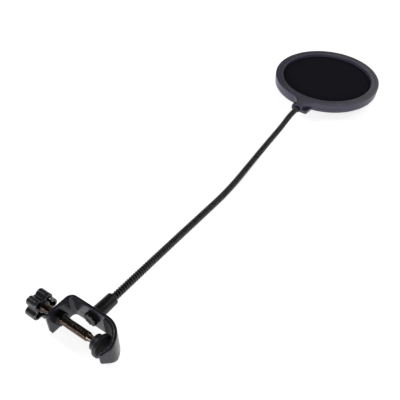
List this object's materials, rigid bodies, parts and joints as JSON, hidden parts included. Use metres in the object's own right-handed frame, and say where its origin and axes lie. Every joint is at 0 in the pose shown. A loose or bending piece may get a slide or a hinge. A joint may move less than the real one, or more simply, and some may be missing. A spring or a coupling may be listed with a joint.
{
  "type": "pop filter",
  "caption": "Round double-screen pop filter on a bendable gooseneck, with a C clamp, star knob screw and swivel pad that grip a microphone stand.",
  "frame": {"origin": "on the clamp screw's axis, on the rubber seat of the fixed jaw, in the middle of the strap's width; it is where the clamp meets the stand", "axes": "+X along the clamp screw towards the fixed jaw, +Y along the neck from the clamp to the ring, +Z across the clamp strap, along the stand's tube"},
  "size_m": [0.1551, 0.6295, 0.0407],
  "materials": {
    "strap_paint": "satin black powder coat",
    "blackened_steel": "blackened, oiled",
    "bronzed_steel": "bronze-tinted thread",
    "moulded_plastic": "fine moulded grain",
    "jaw_rubber": "matte",
    "coil_steel": "black oxide wire",
    "screen_nylon": "fine knitted mesh"
  },
  "bodies": {
    "clamp": {"clamp_body": "strap_paint", "jaw_lining": "jaw_rubber", "screw_nut": "blackened_steel"},
    "pad_carrier": {"pad_clip": "blackened_steel"},
    "screw": {"clamp_screw": "bronzed_steel", "clamp_knob": "moulded_plastic"},
    "pad": {"pad_cup": "moulded_plastic", "pad_rubber": "jaw_rubber"},
    "washer": {"spring_washer": "blackened_steel"},
    "thumb": {"thumb_nut": "moulded_plastic"},
    "neck_base": {"base_sleeve": "strap_paint", "base_stud": "bronzed_steel", "neck_link_00": "coil_steel"},
    "neck_01": {"neck_link_01": "coil_steel"},
    "neck_02": {"neck_link_02": "coil_steel"},
    "neck_03": {"neck_link_03": "coil_steel"},
    "neck_04": {"neck_link_04": "coil_steel"},
    "neck_05": {"neck_link_05": "coil_steel"},
    "neck_06": {"neck_link_06": "coil_steel"},
    "neck_07": {"neck_link_07": "coil_steel"},
    "neck_08": {"neck_link_08": "coil_steel"},
    "neck_09": {"neck_link_09": "coil_steel"},
    "neck_10": {"neck_link_10": "coil_steel"},
    "neck_11": {"neck_link_11": "coil_steel"},
    "head": {"neck_link_12": "coil_steel", "neck_ferrule": "blackened_steel", "front_ring": "moulded_plastic", "rear_ring": "moulded_plastic", "spacer_ring": "moulded_plastic", "front_screen": "screen_nylon", "rear_screen": "screen_nylon"}
  },
  "joints": [
    {"name": "screw_travel", "type": "slide", "parent": "clamp", "child": "pad_carrier", "axis": [1, 0, 0], "range_m": [-0.0275, 0]},
    {"name": "screw_turn", "type": "hinge", "parent": "pad_carrier", "child": "screw", "pos_m": [0, 0, 0], "axis": [1, 0, 0], "range_deg": [-7921, 0]},
    {"name": "pad_tilt", "type": "hinge", "parent": "pad_carrier", "child": "pad", "pos_m": [-0.0126, 0, 0], "axis": [0, 0, 1], "range_deg": [-4, 4]},
    {"name": "thumb_travel", "type": "slide", "parent": "clamp", "child": "washer", "axis": [0, -1, 0], "range_m": [0, 0.0025]},
    {"name": "thumb_turn", "type": "hinge", "parent": "washer", "child": "thumb", "pos_m": [-0.035, 0.01596, 0], "axis": [0, -1, 0], "range_deg": [0, 901]},
    {"name": "arm_swivel", "type": "hinge", "parent": "clamp", "child": "neck_base", "pos_m": [-0.035, 0.01876, 0], "axis": [0, 1, 0], "continuous": true},
    {"name": "neck_bend_01", "type": "hinge", "parent": "neck_base", "child": "neck_01", "pos_m": [-0.035, 0.05783, 0], "axis": [0, 0, 1], "range_deg": [-25, 25]},
    {"name": "neck_bend_02", "type": "hinge", "parent": "neck_01", "child": "neck_02", "pos_m": [-0.03513, 0.09139, -0.00033], "axis": [1, 0, 0], "range_deg": [-25, 25]},
    {"name": "neck_bend_03", "type": "hinge", "parent": "neck_02", "child": "neck_03", "pos_m": [-0.03543, 0.12495, -0.00103], "axis": [0, 0, 1], "range_deg": [-25, 25]},
    {"name": "neck_bend_04", "type": "hinge", "parent": "neck_03", "child": "neck_04", "pos_m": [-0.03602, 0.15851, -0.00231], "axis": [1, 0, 0], "range_deg": [-25, 25]},
    {"name": "neck_bend_05", "type": "hinge", "parent": "neck_04", "child": "neck_05", "pos_m": [-0.03714, 0.19207, -0.00448], "axis": [0, 0, 1], "range_deg": [-25, 25]},
    {"name": "neck_bend_06", "type": "hinge", "parent": "neck_05", "child": "neck_06", "pos_m": [-0.03943, 0.22563, -0.00798], "axis": [1, 0, 0], "range_deg": [-25, 25]},
    {"name": "neck_bend_07", "type": "hinge", "parent": "neck_06", "child": "neck_07", "pos_m": [-0.04338, 0.25918, -0.01143], "axis": [0, 0, 1], "range_deg": [-25, 25]},
    {"name": "neck_bend_08", "type": "hinge", "parent": "neck_07", "child": "neck_08", "pos_m": [-0.04693, 0.29274, -0.01169], "axis": [1, 0, 0], "range_deg": [-25, 25]},
    {"name": "neck_bend_09", "type": "hinge", "parent": "neck_08", "child": "neck_09", "pos_m": [-0.04949, 0.3263, -0.01002], "axis": [0, 0, 1], "range_deg": [-25, 25]},
    {"name": "neck_bend_10", "type": "hinge", "parent": "neck_09", "child": "neck_10", "pos_m": [-0.05145, 0.35986, -0.00755], "axis": [1, 0, 0], "range_deg": [-25, 25]},
    {"name": "neck_bend_11", "type": "hinge", "parent": "neck_10", "child": "neck_11", "pos_m": [-0.05304, 0.39342, -0.00469], "axis": [0, 0, 1], "range_deg": [-25, 25]},
    {"name": "neck_bend_12", "type": "hinge", "parent": "neck_11", "child": "head", "pos_m": [-0.05547, 0.42706, -0.00161], "axis": [1, 0, 0], "range_deg": [-25, 25]}
  ],
  "couplings": [
    {"joint": "screw_turn", "follows": "screw_travel", "rad_per_m": 5026.5},
    {"joint": "thumb_turn", "follows": "thumb_travel", "rad_per_m": 6283.2}
  ]
}
